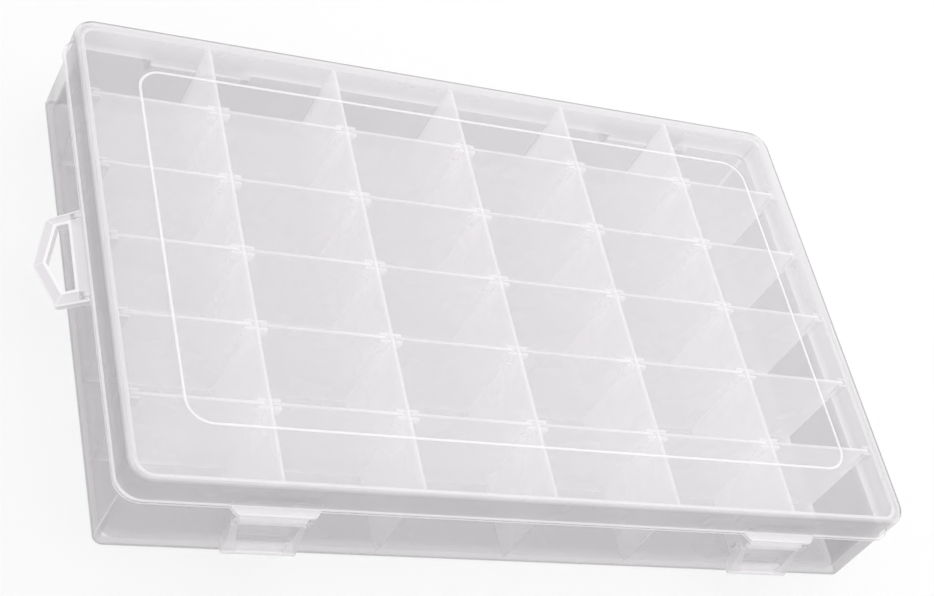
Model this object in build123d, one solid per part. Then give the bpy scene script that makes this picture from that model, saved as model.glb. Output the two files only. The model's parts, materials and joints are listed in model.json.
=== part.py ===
from build123d import *
import os

# A flat box of clear moulded plastic for small parts. A shallow tray stands on z = 0, five fixed walls
# and thirty lift-out dividers split it into 6 x 6 compartments, and a shallow lid with a deep skirt
# swings on two hinges along the back. Two latches hang from lugs on the lid's front and hook under
# ledges on the tray. A five-sided hang loop swings on the left end.
# Millimetres. X runs along the length, -Y is the front with the latches, Z is up. The origin is the
# middle of the underside.

# Tray
TRAY_LENGTH = 270.4
TRAY_WIDTH = 169.2
TRAY_HEIGHT = 38.2
TRAY_CORNER = 6.0
TRAY_FOOT_CORNER = 3.0
TRAY_WALL = 1.3
TRAY_FLOOR = 1.3
TRAY_EDGE = 0.8
SHOULDER_HEIGHT = 26.8
SHOULDER_STEP_X = 0.6
SHOULDER_STEP_Y = 0.5

# Grid of compartments
COLUMNS = 6
ROWS = 6
COLUMN_PITCH = 45.2
ROW_PITCH = 28.2
PARTITION_THICKNESS = 1.2
RIB_REACH = 3.2
RIB_THICKNESS = 1.1
RIB_TOP = 37.5
SLOT_WIDTH = 1.5
DIVIDER_THICKNESS = 1.1
DIVIDER_TOP = 37.7
DIVIDER_END_GAP = 0.25
DIVIDER_CORNER = 1.5

# Lid
LID_LENGTH = 273.6
LID_WIDTH = 172.2
LID_TOP = 39.8
LID_PLATE = 1.2
LID_WALL = 1.1
LID_CORNER = 7.5
LID_EDGE = 2.2
SKIRT_BOTTOM = 27.4
BAND_LENGTH = 275.0
BAND_WIDTH = 173.0
BAND_HEIGHT = 1.4
BEAD_LENGTH = 236.4
BEAD_WIDTH = 134.0
BEAD_CORNER = 8.5
BEAD_THICKNESS = 1.0
BEAD_HEIGHT = 0.5

# Back hinges, places measured outwards from the tray's back wall
HINGE_X = (-89.5, 89.5)
HINGE_REACH = 5.0
HINGE_Z = 24.4
HINGE_PIN_RADIUS = 1.5
HINGE_CLEARANCE = 0.06
KNUCKLE_RADIUS = 3.0
KNUCKLE_LENGTH = 31.6
KNUCKLE_MOUTH = 2.5
ARM_HEIGHT = 3.4
ARM_SHELF = 2.0
CHEEK_RADIUS = 2.1
CHEEK_THICKNESS = 2.0
CHEEK_GAP = 0.5

# Latches and the lugs that carry them, places measured outwards from the tray's front wall
LATCH_X = (-89.5, 89.5)
LATCH_REACH = 2.9
LATCH_Z = 24.4
LATCH_PIN_RADIUS = 0.9
LATCH_CLEARANCE = 0.06
LUG_REACH = 4.6
LUG_HALF_ROOT = 14.7
LUG_HALF_FRONT = 12.4
LUG_ROUND = 2.0
EAR_THICKNESS = 1.3
EAR_RADIUS = 1.8
EAR_GAP = 0.4
STEM_REACH = 1.2
BARREL_RADIUS = 1.9
BARREL_LENGTH = 21.4
BARREL_MOUTH = 1.5
FLAP_GAP = 2.5
FLAP_THICKNESS = 1.4
FLAP_WIDTH = 23.4
FLAP_TOP = 22.2
FLAP_BOTTOM = 10.8
FLAP_ROUND = 0.5
LIP_REACH = 7.4
LIP_TOP = 12.4
WINDOW_HALF_TOP = 10.0
WINDOW_HALF_BOTTOM = 7.2
HOOK_GAP = 0.6
HOOK_TOP = 14.8
HOOK_NOSE = 0.8
HOOK_WIDTH = 18.0
LEDGE_REACH = 1.8
LEDGE_BOTTOM = 15.2
LEDGE_NOSE = 0.9
LEDGE_WIDTH = 20.0

# Hang loop, drawn flat from its hinge-side edge outwards and then tilted down
LOOP_AXIS_X = -137.6
LOOP_AXIS_Z = 25.2
LOOP_TILT = 32.0
LOOP_THICKNESS = 3.0
LOOP_EDGE_TO_AXIS = 0.95
LOOP_HALF_ROOT = 17.1
LOOP_HALF_SHOULDER = 16.4
LOOP_SHOULDER = 10.7
LOOP_APEX = 16.0
LOOP_BAR = 3.8
LOOP_HOLE_HALF = 12.4
LOOP_HOLE_SHOULDER = 7.6
LOOP_HOLE_APEX = 11.8
LOOP_BEVEL_WIDTH = 3.2
LOOP_BEVEL_DEPTH = 0.8
LOOP_EDGE_ROUND = 0.8
LOOP_PIN_RADIUS = 0.9
LOOP_PIN_CLEARANCE = 0.06
EYE_RADIUS = 1.75
EYE_THICKNESS = 1.9
EYE_Y = 14.85
EYE_GAP = 0.4
EYE_MOUTH = 1.4
EYE_ARM_HEIGHT = 3.0
SLOT_CLEARANCE = 0.3

# Worked out from the sizes above
EPS = 0.5
UPPER_LENGTH = TRAY_LENGTH - 2 * SHOULDER_STEP_X
UPPER_WIDTH = TRAY_WIDTH - 2 * SHOULDER_STEP_Y
INNER_LENGTH = UPPER_LENGTH - 2 * TRAY_WALL
INNER_WIDTH = UPPER_WIDTH - 2 * TRAY_WALL
PARTITION_X = [COLUMN_PITCH * (i - (COLUMNS - 2) / 2) for i in range(COLUMNS - 1)]
DIVIDER_Y = [ROW_PITCH * (j - (ROWS - 2) / 2) for j in range(ROWS - 1)]
BACK = TRAY_WIDTH / 2
FRONT = -TRAY_WIDTH / 2
LEFT = -TRAY_LENGTH / 2
ROOT = TRAY_WALL / 2
HINGE_Y = BACK + HINGE_REACH
LATCH_Y = FRONT - LATCH_REACH
FLAP_BACK = FRONT - FLAP_GAP
FLAP_FACE = FLAP_BACK - FLAP_THICKNESS
LIP_FRONT = FRONT - LIP_REACH


def side_profile(points, middle, width):
    """Solid with a flat outline in the YZ plane, its width laid along X about middle."""
    face = Plane.YZ * make_face(Polyline(*points, close=True))
    return Pos(middle - width / 2, 0, 0) * extrude(face, width)


def rod_x(y, z, radius, middle, length):
    """Round rod along X."""
    face = Plane.YZ * (Pos(y, z) * Circle(radius))
    return Pos(middle - length / 2, 0, 0) * extrude(face, length)


def rod_y(x, z, radius, middle, length):
    """Round rod along Y."""
    return Pos(x, middle, z) * Rot(90, 0, 0) * Cylinder(radius, length)


def rounded_block(length, width, corner, bottom, top):
    """Block with rounded upright edges, centred on the Z axis."""
    return Pos(0, 0, bottom) * extrude(RectangleRounded(length, width, corner), top - bottom)


def rib_pairs(face_x, side):
    """Upright ribs in pairs on a wall face at face_x, standing out towards side, one pair a divider."""
    ribs = Sketch()
    offset = (SLOT_WIDTH + RIB_THICKNESS) / 2
    for y in DIVIDER_Y:
        for shift in (-offset, offset):
            ribs += Pos(face_x + side * RIB_REACH / 2, y + shift) * Rectangle(RIB_REACH, RIB_THICKNESS)
    return Pos(0, 0, TRAY_FLOOR) * extrude(ribs, RIB_TOP - TRAY_FLOOR)


def hinge_bracket(x):
    """Two cheeks on the tray's back wall with the hinge pin between them."""
    cheek_x = KNUCKLE_LENGTH / 2 + CHEEK_GAP + CHEEK_THICKNESS / 2
    low, high = HINGE_Z - CHEEK_RADIUS, HINGE_Z + CHEEK_RADIUS
    plate = [(BACK - ROOT, low), (HINGE_Y, low), (HINGE_Y, high), (BACK - ROOT, high)]
    bracket = rod_x(HINGE_Y, HINGE_Z, HINGE_PIN_RADIUS, x, 2 * cheek_x)
    for side in (-1, 1):
        bracket += side_profile(plate, x + side * cheek_x, CHEEK_THICKNESS)
        bracket += rod_x(HINGE_Y, HINGE_Z, CHEEK_RADIUS, x + side * cheek_x, CHEEK_THICKNESS)
    return bracket


def catch_ledge(x):
    """Ledge on the tray's front wall that a latch hooks under, sloped on top to let it snap past."""
    nose = LEDGE_BOTTOM + LEDGE_NOSE
    outline = [
        (FRONT + ROOT, LEDGE_BOTTOM),
        (FRONT - LEDGE_REACH, LEDGE_BOTTOM),
        (FRONT - LEDGE_REACH, nose),
        (FRONT, nose + LEDGE_REACH),
        (FRONT + ROOT, nose + LEDGE_REACH),
    ]
    return side_profile(outline, x, LEDGE_WIDTH)


def loop_eye(y):
    """Snap-in eye on the tray's left wall that holds one pin of the hang loop."""
    eye = rod_y(LOOP_AXIS_X, LOOP_AXIS_Z, EYE_RADIUS, y, EYE_THICKNESS)
    reach = LEFT + ROOT - LOOP_AXIS_X
    arm_z = LOOP_AXIS_Z + EYE_RADIUS - EYE_ARM_HEIGHT / 2
    eye += Pos(LOOP_AXIS_X + reach / 2, y, arm_z) * Box(reach, EYE_THICKNESS, EYE_ARM_HEIGHT)
    eye -= rod_y(LOOP_AXIS_X, LOOP_AXIS_Z, LOOP_PIN_RADIUS + LOOP_PIN_CLEARANCE, y, EYE_THICKNESS + EPS)
    mouth_z = LOOP_AXIS_Z - EYE_RADIUS
    return eye - Pos(LOOP_AXIS_X, y, mouth_z) * Box(EYE_MOUTH, EYE_THICKNESS + EPS, 2 * EYE_RADIUS)


def base_tray():
    """Floor, four walls with a shoulder that the lid's skirt comes down to, and what stands on them."""
    tray = rounded_block(TRAY_LENGTH, TRAY_WIDTH, TRAY_FOOT_CORNER, 0, SHOULDER_HEIGHT)
    tray = fillet(tray.edges().group_by(Axis.Z)[0], TRAY_EDGE)
    tray += rounded_block(UPPER_LENGTH, UPPER_WIDTH, TRAY_CORNER, TRAY_FLOOR, TRAY_HEIGHT)
    inner_corner = TRAY_CORNER - TRAY_WALL
    tray -= rounded_block(INNER_LENGTH, INNER_WIDTH, inner_corner, TRAY_FLOOR, TRAY_HEIGHT + EPS)
    for side in (-1, 1):
        tray += rib_pairs(side * INNER_LENGTH / 2, -side)
    for x in HINGE_X:
        tray += hinge_bracket(x)
    for x in LATCH_X:
        tray += catch_ledge(x)
    for side in (-1, 1):
        tray += loop_eye(side * EYE_Y)
    return tray


def partition(x):
    """Fixed wall from front to back with its rib pairs on both faces."""
    height = TRAY_HEIGHT - TRAY_FLOOR
    wall = Pos(x, 0, TRAY_FLOOR) * extrude(Rectangle(PARTITION_THICKNESS, INNER_WIDTH), height)
    for side in (-1, 1):
        wall += rib_pairs(x + side * PARTITION_THICKNESS / 2, side)
    return wall


def column_span(column):
    """The two wall faces, left and right, that bound a column of compartments."""
    walls = [-INNER_LENGTH / 2]
    for x in PARTITION_X:
        walls += [x - PARTITION_THICKNESS / 2, x + PARTITION_THICKNESS / 2]
    walls.append(INNER_LENGTH / 2)
    return walls[2 * column], walls[2 * column + 1]


def divider(column, row):
    """Lift-out plate that stands on the floor in two facing slots."""
    left, right = column_span(column)
    length = right - left - 2 * DIVIDER_END_GAP
    height = DIVIDER_TOP - TRAY_FLOOR
    plate = Box(length, DIVIDER_THICKNESS, height)
    plate = fillet(plate.edges().filter_by(Axis.Y), DIVIDER_CORNER)
    return Pos((left + right) / 2, DIVIDER_Y[row], TRAY_FLOOR + height / 2) * plate


def lug_outline(middle):
    """Plan of a front lug: wide at the lid's skirt, narrower and rounded at the front."""
    root = -LID_WIDTH / 2 + LID_WALL / 2
    front = FRONT - LUG_REACH
    points = [
        (middle - LUG_HALF_ROOT, root),
        (middle - LUG_HALF_FRONT, front),
        (middle + LUG_HALF_FRONT, front),
        (middle + LUG_HALF_ROOT, root),
    ]
    plan = make_face(Polyline(*points, close=True))
    return fillet(plan.vertices().group_by(Axis.Y)[0], LUG_ROUND)


def front_lug(x):
    """Flat lug that the band widens into, with two ears and the pin that a latch swings on."""
    lug = Pos(0, 0, SKIRT_BOTTOM) * extrude(lug_outline(x), BAND_HEIGHT)
    ear_x = BARREL_LENGTH / 2 + EAR_GAP + EAR_THICKNESS / 2
    stem = [
        (LATCH_Y - STEM_REACH, LATCH_Z),
        (LATCH_Y + EAR_RADIUS, LATCH_Z),
        (LATCH_Y + EAR_RADIUS, SKIRT_BOTTOM + EPS),
        (LATCH_Y - STEM_REACH, SKIRT_BOTTOM + EPS),
    ]
    for side in (-1, 1):
        lug += rod_x(LATCH_Y, LATCH_Z, EAR_RADIUS, x + side * ear_x, EAR_THICKNESS)
        lug += side_profile(stem, x + side * ear_x, EAR_THICKNESS)
    return lug + rod_x(LATCH_Y, LATCH_Z, LATCH_PIN_RADIUS, x, 2 * ear_x)


def hinge_knuckle(x):
    """Arm from the lid's back skirt that wraps round the hinge pin."""
    root = LID_WIDTH / 2 - LID_WALL / 2
    arm = [
        (root, SKIRT_BOTTOM),
        (root, SKIRT_BOTTOM + ARM_HEIGHT),
        (root + ARM_SHELF, SKIRT_BOTTOM + ARM_HEIGHT),
        (HINGE_Y + KNUCKLE_RADIUS - EPS / 2, HINGE_Z + EPS),
        (HINGE_Y, HINGE_Z),
        (HINGE_Y - KNUCKLE_RADIUS + EPS / 2, HINGE_Z + EPS),
    ]
    knuckle = side_profile(arm, x, KNUCKLE_LENGTH)
    return knuckle + rod_x(HINGE_Y, HINGE_Z, KNUCKLE_RADIUS, x, KNUCKLE_LENGTH)


def snap_bore(y, z, radius, mouth, depth, x, length):
    """Bore along X with a narrower mouth below it, through which the pin snaps in."""
    cut = rod_x(y, z, radius, x, length + EPS)
    return cut + Pos(x, y, z - depth / 2) * Box(length + EPS, mouth, depth)


def stacking_bead():
    """Low raised line, a rounded rectangle on top of the lid."""
    ring = RectangleRounded(BEAD_LENGTH, BEAD_WIDTH, BEAD_CORNER)
    inside = BEAD_CORNER - BEAD_THICKNESS
    ring -= RectangleRounded(BEAD_LENGTH - 2 * BEAD_THICKNESS, BEAD_WIDTH - 2 * BEAD_THICKNESS, inside)
    return Pos(0, 0, LID_TOP - EPS) * extrude(ring, BEAD_HEIGHT + EPS)


def lid():
    """Plate with a deep skirt, a band round the skirt's foot, lugs in front and knuckles behind."""
    shell = rounded_block(LID_LENGTH, LID_WIDTH, LID_CORNER, SKIRT_BOTTOM, LID_TOP)
    shell = fillet(shell.edges().group_by(Axis.Z)[-1], LID_EDGE)
    shell += rounded_block(BAND_LENGTH, BAND_WIDTH, LID_CORNER, SKIRT_BOTTOM, SKIRT_BOTTOM + BAND_HEIGHT)
    for x in LATCH_X:
        shell += front_lug(x)
    for x in HINGE_X:
        shell += hinge_knuckle(x)
        bore = HINGE_PIN_RADIUS + HINGE_CLEARANCE
        depth = KNUCKLE_RADIUS + EPS
        shell -= snap_bore(HINGE_Y, HINGE_Z, bore, KNUCKLE_MOUTH, depth, x, KNUCKLE_LENGTH)
    hollow_length = LID_LENGTH - 2 * LID_WALL
    hollow_width = LID_WIDTH - 2 * LID_WALL
    hollow_corner = LID_CORNER - LID_WALL
    hollow_top = LID_TOP - LID_PLATE
    shell -= rounded_block(hollow_length, hollow_width, hollow_corner, SKIRT_BOTTOM - EPS, hollow_top)
    return shell + stacking_bead()


def latch(x):
    """Flap on a barrel: a plate that flares to a finger lip, framed round a recess, hook behind."""
    neck = [
        (FLAP_FACE, LATCH_Z),
        (FLAP_BACK, LATCH_Z),
        (FLAP_BACK, FLAP_TOP - EPS),
        (FLAP_FACE, FLAP_TOP - EPS),
    ]
    flap = [
        (FLAP_BACK, FLAP_TOP),
        (FLAP_FACE, FLAP_TOP),
        (LIP_FRONT, LIP_TOP),
        (LIP_FRONT, FLAP_BOTTOM + FLAP_ROUND),
        (LIP_FRONT + FLAP_ROUND, FLAP_BOTTOM),
        (FLAP_BACK, FLAP_BOTTOM),
    ]
    hook = [
        (FLAP_BACK - EPS, HOOK_TOP),
        (FRONT - HOOK_GAP, HOOK_TOP),
        (FRONT - HOOK_GAP, HOOK_TOP - HOOK_NOSE),
        (FLAP_BACK - EPS, HOOK_TOP - HOOK_NOSE - FLAP_GAP),
    ]
    window = [
        (x - WINDOW_HALF_BOTTOM, LIP_TOP),
        (x + WINDOW_HALF_BOTTOM, LIP_TOP),
        (x + WINDOW_HALF_TOP, FLAP_TOP),
        (x - WINDOW_HALF_TOP, FLAP_TOP),
    ]
    body = side_profile(neck, x, BARREL_LENGTH) + side_profile(flap, x, FLAP_WIDTH)
    recess = Plane.XZ * make_face(Polyline(*window, close=True))
    body -= Pos(0, FLAP_FACE, 0) * extrude(recess, FLAP_FACE - LIP_FRONT + EPS)
    body += rod_x(LATCH_Y, LATCH_Z, BARREL_RADIUS, x, BARREL_LENGTH)
    body += side_profile(hook, x, HOOK_WIDTH)
    bore = LATCH_PIN_RADIUS + LATCH_CLEARANCE
    mouth = snap_bore(0, 0, bore, BARREL_MOUTH, BARREL_RADIUS + EPS, x, BARREL_LENGTH)
    return body - Pos(0, LATCH_Y, LATCH_Z) * Rot(-90, 0, 0) * mouth


def five_sided(root_u, root_half, shoulder_u, shoulder_half, apex_u):
    """House-shaped outline, with u running from the hinge-side edge outwards."""
    points = [
        (root_u, -root_half),
        (shoulder_u, -shoulder_half),
        (apex_u, 0),
        (shoulder_u, shoulder_half),
        (root_u, root_half),
    ]
    return make_face(Polyline(*points, close=True))


def hang_loop():
    """Five-sided ring, bevelled on its outer sides, with a slot and a pin for each eye of the tray."""
    plate = extrude(five_sided(0, LOOP_HALF_ROOT, LOOP_SHOULDER, LOOP_HALF_SHOULDER, LOOP_APEX), LOOP_THICKNESS)
    top = plate.faces().sort_by(Axis.Z)[-1]
    outer = [edge for edge in top.edges() if edge.center().X > LOOP_EDGE_TO_AXIS]
    plate = chamfer(outer, LOOP_BEVEL_WIDTH, LOOP_BEVEL_DEPTH, reference=top)
    plate = fillet(plate.edges().filter_by(Axis.Y).group_by(Axis.X)[0], LOOP_EDGE_ROUND)
    hole = five_sided(LOOP_BAR, LOOP_HOLE_HALF, LOOP_HOLE_SHOULDER, LOOP_HOLE_HALF, LOOP_HOLE_APEX)
    plate -= extrude(hole, LOOP_THICKNESS)
    middle = LOOP_THICKNESS / 2
    slot_width = EYE_THICKNESS + 2 * EYE_GAP
    slot_depth = LOOP_EDGE_TO_AXIS + EYE_RADIUS + SLOT_CLEARANCE
    for side in (-1, 1):
        plate -= Pos(0, side * EYE_Y, middle) * Box(2 * slot_depth, slot_width, 2 * LOOP_THICKNESS)
        plate += rod_y(LOOP_EDGE_TO_AXIS, middle, LOOP_PIN_RADIUS, side * EYE_Y, slot_width + EPS)
    flat = Pos(-LOOP_EDGE_TO_AXIS, 0, -middle) * plate
    return Pos(LOOP_AXIS_X, 0, LOOP_AXIS_Z) * Rot(0, -LOOP_TILT, 0) * Rot(0, 0, 180) * flat


def main():
    """Write one STEP file for each piece."""
    os.makedirs("parts", exist_ok=True)
    pieces = {"base_tray": base_tray(), "lid": lid()}
    pieces["latch_left"] = latch(LATCH_X[0])
    pieces["latch_right"] = latch(LATCH_X[1])
    pieces["hang_loop"] = hang_loop()
    for number, x in enumerate(PARTITION_X, start=1):
        pieces[f"partition_{number}"] = partition(x)
    for column in range(COLUMNS):
        for row in range(ROWS - 1):
            pieces[f"divider_c{column + 1}_r{row + 1}"] = divider(column, row)
    for name, shape in pieces.items():
        export_step(shape, f"parts/{name}.step")


main()
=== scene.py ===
# %% [markdown]
# The object is a flat box of clear moulded plastic: a tray with 6 by 6 compartments, a hinged lid with a
# deep skirt, two latches in front and a five-sided hang loop on the left end. The CAD frame is loaded
# first, because every piece below sits where the CAD says and moves with one of its five bodies.

# %% Load the frame
import json
import math
import bpy
import numpy as np
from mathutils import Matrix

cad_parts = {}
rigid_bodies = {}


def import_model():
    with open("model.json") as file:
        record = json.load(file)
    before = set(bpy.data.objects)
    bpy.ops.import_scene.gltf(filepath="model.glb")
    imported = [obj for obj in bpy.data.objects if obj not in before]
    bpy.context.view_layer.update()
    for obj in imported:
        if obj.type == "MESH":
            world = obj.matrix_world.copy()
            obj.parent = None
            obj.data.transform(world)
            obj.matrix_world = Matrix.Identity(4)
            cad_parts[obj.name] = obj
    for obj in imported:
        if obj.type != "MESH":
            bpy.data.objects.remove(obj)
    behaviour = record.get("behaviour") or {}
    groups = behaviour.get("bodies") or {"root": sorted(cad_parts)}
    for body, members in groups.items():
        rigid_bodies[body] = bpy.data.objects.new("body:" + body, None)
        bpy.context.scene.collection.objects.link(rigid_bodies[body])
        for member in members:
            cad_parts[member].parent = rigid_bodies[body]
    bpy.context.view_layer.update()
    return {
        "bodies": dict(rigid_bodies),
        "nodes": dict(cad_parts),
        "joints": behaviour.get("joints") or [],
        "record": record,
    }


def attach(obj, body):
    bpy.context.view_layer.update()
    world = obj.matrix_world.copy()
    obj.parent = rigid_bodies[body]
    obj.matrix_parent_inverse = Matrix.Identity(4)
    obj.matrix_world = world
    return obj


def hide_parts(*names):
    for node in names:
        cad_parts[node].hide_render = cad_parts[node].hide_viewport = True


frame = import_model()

# %% [markdown]
# All lengths are written in millimetres, as on a drawing, and become metres when a mesh is made. The
# main sizes are those of the CAD part, so each surface lies on its solid. The tray's corners are rounder
# above the shoulder than below it. ROOT is how deep an added form is sunk into the wall that it grows
# from, and PIN_PLAY is the room round a pin.

# %% Sizes of the box
MM = 0.001
ROOT, PIN_PLAY = 0.5, 0.06
TRAY = dict(length=270.4, width=169.2, height=38.2, wall=1.3, floor=1.3, corner=6.0, foot_corner=3.0,
            edge=0.8)
SHOULDER = dict(height=26.8, step_x=0.6, step_y=0.5)
LID = dict(length=273.6, width=172.2, top=39.8, plate=1.2, wall=1.1, corner=7.5, edge=2.2, foot=27.4)
BAND = dict(length=275.0, width=173.0, height=1.4)
INNER_X = TRAY["length"] / 2 - SHOULDER["step_x"] - TRAY["wall"]
INNER_Y = TRAY["width"] / 2 - SHOULDER["step_y"] - TRAY["wall"]
PARTITION_X = 45.2 * (np.arange(5) - 2)
PARTITION_HALF = 0.6
DIVIDER_Y = 28.2 * (np.arange(5) - 2)
FRONT = -TRAY["width"] / 2
HINGE = dict(x=89.5, y=-FRONT + 5.0, z=24.4, pin=1.5, cheek=2.1, knuckle=3.0, length=31.6, gap=0.5,
             thick=2.0)
print("inner half sizes", INNER_X, INNER_Y)

# %% [markdown]
# A moulded part has no knife edges. Its outlines are polygons with rounded corners, and its rims are
# quarter circles. Blender's Bevel could round them afterwards, but worked-out outlines keep every ring
# of points in step, so neighbouring rings join into clean quads.

# %% Outlines
def unit(vectors):
    """Each vector divided by its own length."""
    return vectors / np.linalg.norm(vectors, axis=-1, keepdims=True)


def rounded(corners, radius, steps=5):
    """Outline with each corner replaced by an arc.

    The arc starts and ends r / tan(half angle) from the corner along its two sides, its middle lies
    r / sin(half angle) along the bisector, and points between are the spherical blend
    (sin((1 - s) w) first + sin(s w) last) / sin(w) of the two end radii, w being the arc's angle.
    """
    corners = np.asarray(corners, float)
    radius = np.broadcast_to(np.asarray(radius, float), corners.shape[:-1])[..., None]
    back = unit(np.roll(corners, 1, axis=-2) - corners)
    ahead = unit(np.roll(corners, -1, axis=-2) - corners)
    half = np.arccos(np.clip(np.sum(back * ahead, axis=-1, keepdims=True), -1, 1)) / 2
    middle = corners + unit(back + ahead) * radius / np.sin(half)
    first = (corners + back * radius / np.tan(half) - middle)[..., None, :]
    last = (corners + ahead * radius / np.tan(half) - middle)[..., None, :]
    turn = (math.pi - 2 * half)[..., None, :]
    share = np.linspace(0, 1, steps + 1)[:, None]
    arc = (np.sin((1 - share) * turn) * first + np.sin(share * turn) * last) / np.sin(turn)
    return (middle[..., None, :] + arc).reshape(*corners.shape[:-2], -1, 2)


def rectangle(half_x, half_y):
    """The four corners of a rectangle, counter-clockwise, for any number of sizes at once."""
    signs = np.array([(1, -1), (1, 1), (-1, 1), (-1, -1)], float)
    return np.stack([half_x, half_y], axis=-1)[..., None, :] * signs


def circle(a, b, radius, start=0.0, end=360.0, steps=24):
    """Points at even angles on a circle about (a, b)."""
    angle = np.radians(np.linspace(start, end, steps, endpoint=abs(end - start) < 360))
    return np.stack([a + radius * np.cos(angle), b + radius * np.sin(angle)], axis=-1)


def mitres(outline):
    """Direction in which each point moves when all sides move out by one unit.

    With n and m the outward normals of the two sides at a point, it is (n + m) / (1 + n . m).
    """
    side = unit(np.roll(outline, -1, axis=-2) - outline)
    ahead = np.stack([side[..., 1], -side[..., 0]], axis=-1)
    back = np.roll(ahead, 1, axis=-2)
    return (ahead + back) / (1 + np.sum(ahead * back, axis=-1, keepdims=True))


print("a rounded square has", rounded(rectangle(np.array(1.0), np.array(1.0)), 0.2).shape[0], "points")

# %% [markdown]
# A solid is a stack of such outlines, each moved in or out and set at a height, closed by its first and
# last ring. The stack runs from the top down, so the quads all face outwards.

# %% Stacks of outlines
def raised(outlines, heights):
    """Rings from outlines, each at its own height."""
    level = np.broadcast_to(heights[:, None, None], outlines.shape[:2] + (1,))
    return np.concatenate([outlines, level], axis=-1)


def stack(outline, moves, heights):
    """Rings (outline + mitre * move, height), one for each pair of move and height."""
    moves, heights = np.asarray(moves, float), np.asarray(heights, float)
    return raised(outline + mitres(outline) * moves[:, None, None], heights)


def slab(outline, top, bottom, rim, steps=3):
    """Stack whose two rims are quarter circles: move = rim (sin a - 1), height = top - rim (1 - cos a)."""
    a = np.linspace(0, math.pi / 2, steps + 1)
    moves = rim * (np.sin(a) - 1)
    drop = rim * (1 - np.cos(a))
    moves = np.concatenate([moves, moves[::-1]])
    return stack(outline, moves, np.concatenate([top - drop, (bottom + drop)[::-1]]))


def along_x(grid):
    """Turns (a, b, height) into x = height, y = a, z = b."""
    return grid[..., [2, 0, 1]]


def along_y(grid):
    """Turns (a, b, height) into x = a, y = -height, z = b."""
    return grid[..., [0, 2, 1]] * np.array([1, -1, 1])


def rod_x(y, z, radius, middle, length, rim=0.2, steps=24):
    """Round rod along X with softened ends."""
    outline = circle(y, z, radius, steps=steps)
    return along_x(slab(outline, middle + length / 2, middle - length / 2, rim, 2))


# %% [markdown]
# Each CAD node gets one mesh that gathers its closed surfaces. Two numbers are kept with every point.
# The first is painted light and shade: above 0 it is a painted highlight, 1 on the narrow edges and
# raised lines, where it stands in for the light that clear plastic pipes there; it is 0 on the broad
# faces and below 0 it is painted shade. thin is 1 where a layer should add nothing to what is seen
# through it.

# %% Meshes
SHARP_ANGLE = 38.0


class Piece:
    """Gathers grids of points into one mesh object."""

    def __init__(self, name):
        self.name, self.points, self.quads, self.caps, self.gleam, self.thin = name, [], [], [], [], []
        self.count = 0

    def add(self, grid, gleam=0.0, thin=0.0, ring=False):
        """Quads join (row, column) to (row + 1, column + 1), and the columns close on themselves.

        A ring also joins its last row to its first, and anything else gets its first and last row filled.
        """
        rows, columns = grid.shape[:2]
        r, c = np.meshgrid(np.arange(rows if ring else rows - 1), np.arange(columns), indexing="ij")
        m, n = (r + 1) % rows, (c + 1) % columns
        quads = np.stack([r * columns + c, m * columns + c, m * columns + n, r * columns + n], -1)
        self.quads.append(quads.reshape(-1, 4) + self.count)
        first = np.arange(columns) + self.count
        self.caps += [] if ring else [first.tolist(), (first[::-1] + (rows - 1) * columns).tolist()]
        self.points.append(grid.reshape(-1, 3))
        for values, kept in ((gleam, self.gleam), (thin, self.thin)):
            values = np.asarray(values, float)
            values = values[:, None] if values.ndim == 1 else values
            kept.append(np.broadcast_to(values, (rows, columns)).reshape(-1))
        self.count += rows * columns
        return self

    def finish(self, body, nodes, slot, material):
        """Makes the mesh in metres, shades it smooth up to an angle and ties it to its body and nodes."""
        mesh = bpy.data.meshes.new(self.name)
        faces = np.concatenate(self.quads).tolist() + self.caps
        mesh.from_pydata(np.concatenate(self.points) * MM, [], faces)
        for name, values in (("gleam", self.gleam), ("thin", self.thin)):
            mesh.attributes.new(name, "FLOAT", "POINT").data.foreach_set("value", np.concatenate(values))
        mesh.shade_smooth()
        mesh.set_sharp_from_angle(angle=math.radians(SHARP_ANGLE))
        mesh.materials.append(material)
        made = bpy.data.objects.new(self.name, mesh)
        bpy.context.scene.collection.objects.link(made)
        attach(made, body)
        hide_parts(*nodes)
        return made


# %% [markdown]
# Materials are written as arithmetic. A Shade wraps one node socket, and an expression such as
# 0.2 + 0.1 * cloud adds the Math nodes for it, so a finish reads like its formula.

# %% Shader arithmetic
class Shade:
    """A socket that Python's operators can be used on."""

    def __init__(self, tree, socket):
        self.tree, self.socket = tree, socket

    def node(self, kind, settings=None, inputs=None, output=0):
        """Adds a node, sets its settings first and then its sockets, and gives back one output."""
        made = self.tree.nodes.new(kind)
        for key, value in (settings or {}).items():
            setattr(made, key, value)
        for key, value in (inputs or {}).items():
            if isinstance(value, Shade):
                self.tree.links.new(value.socket, made.inputs[key])
            else:
                made.inputs[key].default_value = value
        return Shade(self.tree, made.outputs[output] if made.outputs else None)

    def math(self, operation, first, second):
        return self.node("ShaderNodeMath", {"operation": operation}, {0: first, 1: second})

    def __add__(self, other):
        return self.math("ADD", self, other)

    __radd__ = __add__

    def __rsub__(self, other):
        return self.math("SUBTRACT", other, self)

    def __mul__(self, other):
        return self.math("MULTIPLY", self, other)

    __rmul__ = __mul__

    def ramp(self, low, high):
        """0 at low, 1 at high, smooth between."""
        sockets = {"Value": self, "From Min": low, "From Max": high}
        return self.node("ShaderNodeMapRange", {"interpolation_type": "SMOOTHSTEP"}, sockets)

    def blend(self, low, high):
        """Colour low where this value is 0 and high where it is 1.

        A Mix node has sockets of the same name for each kind of data, so the colour's go by number.
        """
        factor, first, second, result = 0, 6, 7, 2
        sockets = {factor: self, first: low, second: high}
        return self.node("ShaderNodeMix", {"data_type": "RGBA"}, sockets, result)


def grey(value, green=0.975):
    """A nearly neutral colour with a trace of lilac, as natural polypropylene has in white light."""
    return (value, value * green, value, 1.0)
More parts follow.
